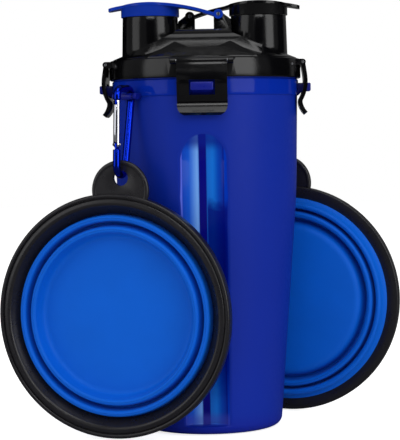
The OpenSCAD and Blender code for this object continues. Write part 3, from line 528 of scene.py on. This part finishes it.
def make_rim(side, matrix):
    """The rim with its lip, thin line, rounded ring and inner slope, and the hanging tab."""
    outline = [
        (54.4, -6.4), (55.6, -4.9), (56.9, -3.1), *arc(BAND_R + 1.7, -2.2, 2.1, 160, 70, 12),
        (61.6, -0.32), (62.1, -0.55), (62.35, -0.95), (62.5, -1.2), (62.7, -1.2), (62.85, -0.9),
        *arc(BOWL_R - 1.3, -1.3, 1.3, 130, 0, 10),
        *arc(BOWL_R - 0.9, 0.9 - RIM_T, 0.9, 0, -90, 5), (BAND_R + 0.2, -RIM_T), (BAND_R, -RIM_T + 0.2),
        (BAND_R, -4.2), (54.9, -7.2),
    ]
    finish_piece(turned(f"rim_{side}", outline, matrix), rim_black, f"bowl_rim_{side}",
                 [f"bowl_rim_{side}"], 50)

    centre = TAB_REACH - TAB_R
    cut = BOWL_R - 2
    reach = TAB_R - TAB_BEAD / 2

    def outer(a):
        """Distance from the hole's middle to the tab's edge or to the rim."""
        up = math.sin(a)
        rise = HOLE_REACH - centre
        to_edge = -rise * up + math.sqrt(rise * rise * up * up + reach * reach - rise * rise)
        inside = (HOLE_REACH * up) ** 2 - HOLE_REACH ** 2 + cut ** 2
        if up < 0 < inside:
            return min(to_edge, -HOLE_REACH * up - math.sqrt(inside))
        return to_edge

    bm = bmesh.new()
    steps = 96
    top, low, edge = -TAB_DEPTH + TAB_T / 2, -TAB_DEPTH - TAB_T / 2, 0.4
    rings = []
    for i in range(steps):
        a = 2 * math.pi * i / steps
        far = outer(a)
        section = [
            (HOLE_R + edge, top), (HOLE_R + edge / 4, top - edge / 4), (HOLE_R, top - edge),
            (HOLE_R, low + edge), (HOLE_R + edge, low), (far, low), (far, top),
            ((far + HOLE_R + edge) / 2, top),
        ]
        rings.append([
            bm.verts.new((r * MM * math.cos(a), (HOLE_REACH + r * math.sin(a)) * MM, z * MM))
            for r, z in section
        ])
    for i in range(steps):
        here, there = rings[i], rings[(i + 1) % steps]
        for k in range(len(here)):
            n = (k + 1) % len(here)
            bm.faces.new((here[k], here[n], there[n], there[k]))
    plate = new_piece(f"tab_{side}", bm, matrix)
    finish_piece(plate, rim_black, f"bowl_rim_{side}", [], 40)

    reach = math.degrees(math.asin(min((cut ** 2 - centre ** 2 - (TAB_R - TAB_BEAD) ** 2)
                                       / (2 * centre * (TAB_R - TAB_BEAD)), 1)))
    path = arc(0, centre, TAB_R - TAB_BEAD, reach, 180 - reach, 60)
    line = [Vector((x * MM, y * MM, -TAB_DEPTH * MM)) for x, y in path]
    bead = tube(f"tab_bead_{side}", line, TAB_BEAD * MM)
    bead.data.transform(matrix)
    finish_piece(bead, rim_black, f"bowl_rim_{side}")


def tube(name, path, radius, sides=20):
    """A tube along a path in the xy plane, with closed ends."""
    bm = bmesh.new()
    across = Vector((0, 0, 1))
    rings = []
    for i, point in enumerate(path):
        along = (path[min(i + 1, len(path) - 1)] - path[max(i - 1, 0)]).normalized()
        out = along.cross(across)
        turns = [2 * math.pi * k / sides for k in range(sides)]
        rings.append([
            bm.verts.new(point + (out * math.cos(a) + across * math.sin(a)) * radius) for a in turns
        ])
    for low, high in zip(rings, rings[1:]):
        for i in range(sides):
            j = (i + 1) % sides
            bm.faces.new((low[i], low[j], high[j], high[i]))
    bm.faces.new(rings[0])
    bm.faces.new(rings[-1])
    return new_piece(name, bm)


def make_bowl(side):
    """One folding bowl: rim, collar, band, base, and a fold on each side of the band."""
    matrix, out = bowl_frame(side)
    make_rim(side, matrix)
    rim_body, band_body, base_body = (f"bowl_{part}_{side}" for part in ("rim", "band", "base"))
    upper = turned(f"upper_fold_{side}", band(fold_wall(GROOVE_1, CREST_1), SKIN), matrix)
    lower = turned(f"lower_fold_{side}", band(fold_wall(GROOVE_2, CREST_2), SKIN), matrix)
    middle = turned(f"band_{side}", band(fold_return(CREST_1, GROOVE_2), SKIN), matrix)
    base = turned(f"base_{side}", band(base_line(), SKIN), matrix)
    collar = turned(f"collar_{side}", [
        (58.5, -4.2), (58.5, -6.2), (57.3, -6.9), *arc(GROOVE_1, GROOVE_Z, FOLD_R + SKIN / 2, 0, -90),
        *arc(GROOVE_1, GROOVE_Z, FOLD_R - SKIN / 2, -90, 0), (54.9, -7.2),
    ], matrix)
    finish_piece(collar, bowl_blue, rim_body, [f"bowl_collar_{side}"], 50)
    finish_piece(middle, bowl_blue, band_body, [f"bowl_band_{side}"], 50)
    finish_piece(base, bowl_blue, base_body, [f"bowl_base_{side}"], 50)
    folds = ((upper, rim_body, band_body, "upper"), (lower, band_body, base_body, "lower"))
    for piece, inner, outer, node in folds:
        finish_piece(piece, bowl_blue, None, [f"bowl_{node}_fold_{side}"], 50)
        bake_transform(piece)


# Cup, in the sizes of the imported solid
CUP_H, CUP_WALL, CUP_FLOOR, FOOT_ROUND = 197.0, 2.2, 3.0, 5.0
FOOT_R, KNEE_R, NECK_R = 40.1, 49.6, 50.6
KNEE_Z, KNEE_SPAN = 128.0, 16.0
COLLAR_R, COLLAR_Z, COLLAR_TOP = 51.2, 181.5, 190.5
GRIP_R, GRIP_DEPTH, GRIP_Z, GRIP_TOP = 24.0, 5.0, 5.0, 161.0
GRIP_BALL = GRIP_TOP - math.sqrt(GRIP_R ** 2 - (GRIP_R - GRIP_DEPTH) ** 2)
GRIP_EDGE = 1.6
DIVIDER_T = 2.6


def cup_radius(z):
    """Outer radius of the cup, without its collar and hollows."""
    low = (KNEE_R - FOOT_R) / (KNEE_Z - FOOT_ROUND)
    high = (NECK_R - KNEE_R) / (COLLAR_Z - KNEE_Z)
    if z < FOOT_ROUND:
        return FOOT_R - FOOT_ROUND + math.sqrt(max(FOOT_ROUND ** 2 - (FOOT_ROUND - z) ** 2, 0))
    start = KNEE_Z - KNEE_SPAN
    run = min(max(z - start, 0), 2 * KNEE_SPAN)
    bent = low * run + (high - low) * run * run / (4 * KNEE_SPAN)
    return FOOT_R + low * (min(z, start) - FOOT_ROUND) + bent + high * max(z - start - 2 * KNEE_SPAN, 0)


def soft_min(a, b, k):
    """The smaller of two lengths, with a rounded change of k between them."""
    h = max(k - abs(a - b), 0) / k
    return min(a, b) - h * h * k / 4


def skin_radius(azimuth, z, r, inset):
    """Radius r at height z, drawn in where the front and back hollows are."""
    off = (azimuth + math.pi / 2) % math.pi - math.pi / 2
    middle = cup_radius(min(max(z, GRIP_Z), GRIP_BALL)) + GRIP_R - GRIP_DEPTH
    reach = (GRIP_R + inset) ** 2 - max(z - GRIP_BALL, 0) ** 2 - (middle * math.sin(off)) ** 2
    if reach <= 0 or z < GRIP_Z - GRIP_EDGE / 2 - inset:
        return r
    hollow = middle * math.cos(off) - math.sqrt(reach)
    foot = min(max((z - GRIP_Z + inset) / GRIP_EDGE + 0.5, 0), 1)
    foot = foot * foot * (3 - 2 * foot)
    return r + (soft_min(r, hollow, GRIP_EDGE) - r) * foot


def cup_rows():
    """(height, radius) rows of the outer skin, from the foot up to the rim."""
    heights = [FOOT_ROUND * (1 - math.cos(math.radians(a))) for a in range(10, 90, 10)]
    heights += [GRIP_Z + GRIP_EDGE * k / 8 for k in range(-4, 6)]
    heights += [7 + 4 * k for k in range(34)]
    heights += [143 + 0.6 * k for k in range(34)]
    heights += [164.5 + 4 * k for k in range(5)]
    rows = [(z, cup_radius(z)) for z in sorted(heights)]
    step = COLLAR_R - NECK_R
    collar = [(COLLAR_Z - 0.1, NECK_R), (COLLAR_Z, NECK_R + 0.1)]
    for a in (0.6, 1.1, math.pi / 2):
        collar.append((COLLAR_Z + step * (1 - math.cos(a)), NECK_R + step * math.sin(a)))
    collar += [(z, COLLAR_R) for z in (184, 187, COLLAR_TOP - step)]
    collar += [(COLLAR_TOP, NECK_R), (CUP_H - 0.3, NECK_R), (CUP_H, NECK_R - 0.3)]
    return rows + collar


def cup_turns():
    """Azimuths round the cup, close together where a hollow is."""
    fine = [math.radians(a * 0.5) for a in range(-50, 51)]
    wide = [math.radians(25 + 130 * k / 44) for k in range(1, 44)]
    half = fine + wide
    return half + [a + math.pi for a in half]


def make_cup():
    """The cup's wall as one closed skin, and the divider across it."""
    bm = bmesh.new()
    turns = cup_turns()

    def ring(z, r, inset):
        points = []
        for a in turns:
            d = skin_radius(a, z, r, inset)
            points.append(bm.verts.new((d * MM * math.sin(a), -d * MM * math.cos(a), z * MM)))
        return points

    outer = [ring(z, r, 0) for z, r in cup_rows()]
    heights = [CUP_H, COLLAR_TOP, COLLAR_Z, *[163 - 0.8 * k for k in range(26)]]
    heights += [*range(140, 4, -8), CUP_FLOOR]
    inner = [ring(z, min(cup_radius(max(z, FOOT_ROUND)), NECK_R) - CUP_WALL, CUP_WALL) for z in heights]
    rings = outer + inner
    count = len(turns)
    for low, high in zip(rings, rings[1:]):
        for i in range(count):
            j = (i + 1) % count
            bm.faces.new((low[i], low[j], high[j], high[i]))
    for edge, z in ((rings[0], 0), (rings[-1], CUP_FLOOR)):
        middle = bm.verts.new((0, 0, z * MM))
        for i in range(count):
            bm.faces.new((edge[i], edge[(i + 1) % count], middle))
    finish_piece(new_piece("cup", bm), cup, "root", ["bottle_body"], 40)

    wall = [(skin_radius(0, z, cup_radius(z) - CUP_WALL, CUP_WALL) + 0.4, z) for z in range(6, 181, 3)]
    edge = [(0, CUP_FLOOR), (wall[0][0], CUP_FLOOR), *wall, (NECK_R - CUP_WALL + 0.4, CUP_H), (0, CUP_H)]
    outline = edge + [(-y, z) for y, z in reversed(edge) if y > 0]
    finish_piece(prism("divider", outline, DIVIDER_T), cup, "root", ["chamber_divider"], 40)


def prism(name, outline, width, matrix=None, edge=0.0):
    """A closed outline of (depth, height), extruded across x, with its edges rounded."""
    bm = bmesh.new()
    ends = [[bm.verts.new((side * width / 2 * MM, y * MM, z * MM)) for y, z in outline] for side in (-1, 1)]
    for end in ends:
        bm.faces.new(end)
    for i in range(len(outline)):
        j = (i + 1) % len(outline)
        bm.faces.new((ends[0][i], ends[0][j], ends[1][j], ends[1][i]))
    piece = new_piece(name, bm, matrix)
    if edge:
        rounded(piece, edge)
    return piece


def rounded(piece, width, segments=3, angle=30):
    """Rounds the sharp edges of a piece."""
    bevel = piece.modifiers.new("bevel", "BEVEL")
    bevel.width = width * MM
    bevel.segments = segments
    bevel.limit_method = "ANGLE"
    bevel.angle_limit = math.radians(angle)
    apply_modifiers(piece)
    return piece


# Catches and ears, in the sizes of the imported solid
CATCH_W, CATCH_H, CATCH_TOP, CATCH_REACH, CATCH_FOOT = 12.0, 4.5, 188.3, 58.0, 2.3
EAR_D, EAR_CLEAR, EAR_STRUT, EAR_LENGTH = 3.4, 8.0, 3.0, 14.0
CLIP_AZIMUTH = 22.6


def make_catches():
    """Four catches under the collar's top, one for each latch."""
    low = CATCH_TOP - CATCH_H
    outline = [
        (NECK_R - 1, low - CATCH_FOOT), (COLLAR_R, low - CATCH_FOOT), (COLLAR_R + CATCH_FOOT, low),
        (CATCH_REACH, low), (CATCH_REACH, CATCH_TOP), (NECK_R - 1, CATCH_TOP),
    ]
    for turn, side in zip((0, 90, 180, 270), LATCHES):
        matrix = Matrix.Rotation(math.radians(turn + 180), 4, "Z")
        catch = prism(f"catch_{side}", outline, CATCH_W, matrix, 0.7)
        finish_piece(catch, catch_blue, "root")


def make_ears():
    """Each ear is a bar between two struts, moulded on the collar."""
    for side in SIDES:
        joint = joint_named(f"carabiner_{side}_swing")
        turn = -CLIP_AZIMUTH + (180 if side == "back" else 0)
        matrix = Matrix.Translation(joint["pos_m"]) @ Matrix.Rotation(math.radians(turn), 4, "Z")
        half = EAR_D / 2
        bar = arc(0, 0, half, 0, 360 - 15, 23)
        piece = prism(f"ear_bar_{side}", bar, EAR_CLEAR + EAR_STRUT, matrix)
        finish_piece(piece, catch_blue, "root")
        strut = arc(0, 0, half, 270, 90, 12) + [(EAR_LENGTH, half), (EAR_LENGTH, -half)]
        for sign in (-1, 1):
            place = matrix @ Matrix.Translation((sign * (EAR_CLEAR + EAR_STRUT) / 2 * MM, 0, 0))
            piece = prism(f"ear_strut_{side}_{'left' if sign < 0 else 'right'}", strut, EAR_STRUT, place, 0.4)
            finish_piece(piece, catch_blue, "root")


# Carabiner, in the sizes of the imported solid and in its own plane, x outward and y up
CLIP_LEAN, CLIP_SLIDE = 12.9, 1.7
WIRE_R, ELBOW_R, CLIP_BEND_R = 2.0, 4.0, 5.0
SPAN_AT, LOW_AT = (8.0, -2.0), (1.0, -37.5)
NOSE_LEN, GATE_LEN, STUB_GAP, TONGUE_T = 2.4, 23.0, 2.6, 1.3


def touch_angle(a, ra, b, rb):
    """Outward normal of the straight line that touches two bends on their outer side."""
    dx, dy = b[0] - a[0], b[1] - a[1]
    return math.degrees(math.atan2(dy, dx) + math.acos((ra - rb) / math.hypot(dx, dy)))


def on_bend(centre, r, angle):
    """The point of a bend at an angle in degrees."""
    a = math.radians(angle)
    return (centre[0] + r * math.cos(a), centre[1] + r * math.sin(a))


def toward(a, b, distance):
    """The point at a distance from a on the way to b."""
    length = math.dist(a, b)
    return tuple(p + (q - p) * distance / length for p, q in zip(a, b))


def make_carabiner(side):
    """The bent wire with its two tongues, and the heads of the gate's rivet."""
    joint = joint_named(f"carabiner_{side}_swing")
    across = Vector(joint["axis"])
    level = Vector((0, 0, 1)).cross(across)
    lean = math.radians(CLIP_LEAN)
    out = level * math.cos(lean) + Vector((0, 0, 1)) * math.sin(lean)
    up = across.cross(out)
    place = Vector(joint["pos_m"]) - across * CLIP_SLIDE * MM
    matrix = Matrix.Translation(place) @ Matrix((out, up, across)).transposed().to_4x4()

    top = touch_angle((0, 0), ELBOW_R, SPAN_AT, ELBOW_R)
    run = touch_angle(SPAN_AT, ELBOW_R, LOW_AT, CLIP_BEND_R)
    run_top, run_low = on_bend(SPAN_AT, ELBOW_R, run), on_bend(LOW_AT, CLIP_BEND_R, run)
    nose = toward(run_top, run_low, NOSE_LEN - 0.3)
    rivet = toward(run_top, run_low, NOSE_LEN + GATE_LEN)
    stub = toward(run_top, run_low, NOSE_LEN + GATE_LEN + STUB_GAP)
    path = [nose, run_top, *arc(*SPAN_AT, ELBOW_R, run, top, 10)[1:], *arc(0, 0, ELBOW_R, top, 180, 14)]
    path += [*between(on_bend((0, 0), ELBOW_R, 180), on_bend(LOW_AT, CLIP_BEND_R, 180), 6)]
    path += [*arc(*LOW_AT, CLIP_BEND_R, -180, run, 22), stub]
    wire = tube(f"clip_wire_{side}", [Vector((x * MM, y * MM, 0)) for x, y in path], WIRE_R * MM, 24)
    rounded(wire, 0.4)
    wire.data.transform(matrix)
    finish_piece(wire, clip_blue, f"carabiner_{side}", [f"carabiner_{side}"], 50)

    along = Vector((run_top[0] - run_low[0], run_top[1] - run_low[1], 0)).normalized()
    flat = Matrix((Vector((0, 0, 1)), Vector((0, 0, 1)).cross(along), along)).transposed().to_4x4()
    tongue = [(-1.2, 0), (-1.2, -3.4), (1.2, -3.4), (1.2, 0), *arc(0, 0, 1.2, 0, 180, 10)[1:-1]]
    nose_tongue = [(-1, -2), (1, -2), (1, 1.2), (-1, 1.2)]
    tongues = (("rivet", rivet, tongue), ("nose", toward(run_top, run_low, NOSE_LEN), nose_tongue))
    for part, place, outline in tongues:
        spot = matrix @ Matrix.Translation((place[0] * MM, place[1] * MM, 0)) @ flat
        piece = prism(f"clip_{part}_tongue_{side}", outline, TONGUE_T, spot, 0.2)
        finish_piece(piece, clip_blue, f"carabiner_{side}")
    dome = [(0, 0.55), *arc(0, -0.35, 0.9, 75, 0, 6), (0.9, -1.1), (0, -1.1)]
    for sign in (-1, 1):
        face = Matrix.Translation((rivet[0] * MM, rivet[1] * MM, sign * (WIRE_R - 0.1) * MM))
        turn = Matrix.Rotation(0 if sign > 0 else math.pi, 4, "X")
        head = turned(f"rivet_head_{side}_{'out' if sign > 0 else 'in'}", dome, matrix @ face @ turn, 32)
        finish_piece(head, steel, f"gate_{side}")


# Lamps: name, place, target, size and power
BOTTLE_MIDDLE = (0, 0, 0.12)
SOFTBOXES = (
    ("softbox_left", (-1.2, -0.7, 0.5), BOTTLE_MIDDLE, (0.8, 1.3), 4),
    ("softbox_right", (1.05, -0.95, 0.45), BOTTLE_MIDDLE, (0.8, 1.3), 8.5),
    ("softbox_top", (0.1, -0.6, 1.5), BOTTLE_MIDDLE, (0.9, 0.9), 5),
    ("softbox_front", (0.1, -1.35, 0.95), (0, 0, 0.2), (0.8, 0.35), 3.4),
)


def make_lights():
    """Soft lamps to the left, to the right, above and in front."""
    for name, place, target, size, power in SOFTBOXES:
        data = bpy.data.lights.new(name, "AREA")
        data.shape = "RECTANGLE"
        data.size, data.size_y = size
        data.energy = power
        lamp = bpy.data.objects.new(name, data)
        aim = (Vector(target) - Vector(place)).to_track_quat("-Z", "Y")
        lamp.matrix_world = Matrix.Translation(place) @ aim.to_matrix().to_4x4()
        bpy.context.scene.collection.objects.link(lamp)


# How bright the surroundings and the floor are to the camera, in reflections and as a light
SKY = (1.0, 0.15, 0.45)
FLOOR = (0.8, 0.0, 0.0)
FLOOR_TONE = (0.9, 0.12, 0.9)


def by_ray(tree, levels, strength):
    """Gives a level to each kind of ray: seen by the camera, in reflections, and as a light."""
    seen, gloss, light = levels
    path = tree.nodes.new("ShaderNodeLightPath")
    total = tree.nodes.new("ShaderNodeMath")
    total.operation = "ADD"
    kinds = (("Is Camera Ray", light, seen), ("Is Glossy Ray", 0.0, gloss - light))
    for (ray, low, high), socket in zip(kinds, total.inputs):
        level = tree.nodes.new("ShaderNodeMapRange")
        level.inputs["To Min"].default_value = low
        level.inputs["To Max"].default_value = high
        tree.links.new(path.outputs[ray], level.inputs["Value"])
        tree.links.new(level.outputs["Result"], socket)
    tree.links.new(total.outputs[0], strength)


def make_world():
    """Pale surroundings: white where they are seen, softer as a light and in reflections."""
    world = bpy.data.worlds.new("studio")
    world.use_nodes = True
    bpy.context.scene.world = world
    background = world.node_tree.nodes["Background"]
    background.inputs["Color"].default_value = (1, 1, 1, 1)
    by_ray(world.node_tree, SKY, background.inputs["Strength"])


FLOOR_SIZE, FLOOR_GAP = 6, 0.0005


def make_floor():
    """A pale floor, white to the camera and darker in reflections."""
    bpy.ops.mesh.primitive_plane_add(size=FLOOR_SIZE, location=(0, 0, -FLOOR_GAP))
    floor = bpy.context.object
    floor.name = "floor"
    material = bpy.data.materials.new("floor")
    material.use_nodes = True
    shader = material.node_tree.nodes["Principled BSDF"]
    by_ray(material.node_tree, FLOOR_TONE, shader.inputs["Base Color"])
    shader.inputs["Roughness"].default_value = 0.9
    shader.inputs["Emission Color"].default_value = (1, 1, 1, 1)
    by_ray(material.node_tree, FLOOR, shader.inputs["Emission Strength"])
    floor.data.materials.append(material)


# Cards that shade reflections: start and end in degrees round the object, and height in metres
FLAGS = ((-14, 20, 0.75), (85, 125, 1.6), (-175, -112, 1.6))
FLAG_REACH, FLAG_LOW, FLAG_STEPS = 1.6, -0.2, 8


def make_flags():
    """Dark cards round the object, seen only in reflections, as a product studio hangs them."""
    material = bpy.data.materials.new("flag")
    material.use_nodes = True
    shader = material.node_tree.nodes["Principled BSDF"]
    shader.inputs["Base Color"].default_value = (0, 0, 0, 1)
    shader.inputs["Roughness"].default_value = 1
    shader.inputs["Specular IOR Level"].default_value = 0
    for index, (start, end, high) in enumerate(FLAGS):
        mesh = bpy.data.meshes.new("flag")
        points = []
        for i in range(FLAG_STEPS + 1):
            a = math.radians(start + (end - start) * i / FLAG_STEPS)
            x, y = FLAG_REACH * math.sin(a), -FLAG_REACH * math.cos(a)
            points += [(x, y, FLAG_LOW), (x, y, high)]
        faces = [(k, k + 2, k + 3, k + 1) for k in range(0, 2 * FLAG_STEPS, 2)]
        mesh.from_pydata(points, [], faces)
        mesh.materials.append(material)
        flag = bpy.data.objects.new(f"flag_{index + 1}", mesh)
        bpy.context.scene.collection.objects.link(flag)
        for kind in ("camera", "diffuse", "shadow", "transmission"):
            setattr(flag, f"visible_{kind}", False)


make_camera()

black = moulded_plastic("gloss_black", GLOSS_BLACK, 0.13)
cap_blue = moulded_plastic("cap_blue", CAP_BLUE, 0.16, gloss=0.18)
cup = frosted_cup()
catch_blue = moulded_plastic("catch_blue", CATCH_BLUE, 0.3, gloss=0.25)
rim_black = moulded_plastic("rim_black", RIM_BLACK, 0.3, grain=0.03, gloss=0.45)
bowl_blue = silicone("bowl_blue", BOWL_BLUE)
seal = silicone("seal_silicone", SEAL_GREY)
clip_blue = metal("anodised_blue", CLIP_BLUE, 0.2)
steel = metal("steel", STEEL, 0.28)
gate_silver = metal("polished_gate", GATE_SILVER, 0.1)

make_cup()
make_catches()
make_ears()
dress("lid_shell", black, "root", 0.3)
assign("lid_gasket", seal)
for side in LATCHES:
    dress(f"latch_{side}", black, f"latch_{side}", 0.35)
    assign(f"latch_pin_{side}", steel)
for side in SIDES:
    make_bowl(side)
for cap, material, slot in (("water_cap", cap_blue, "cap_blue"), ("food_cap", black, "gloss_black")):
    dress(cap, material, cap, 0.3)
    assign(f"{cap}_seal", seal)
    assign(f"{cap}_pin", steel)
for side in SIDES:
    make_carabiner(side)
    dress(f"gate_{side}", gate_silver, f"gate_{side}", 0.15)
    for part in ("rivet", "plunger", "spring"):
        assign(f"gate_{part}_{side}", steel)

make_world()
make_floor()
make_flags()
make_lights()

bpy.context.scene.view_settings.view_transform = "Standard"
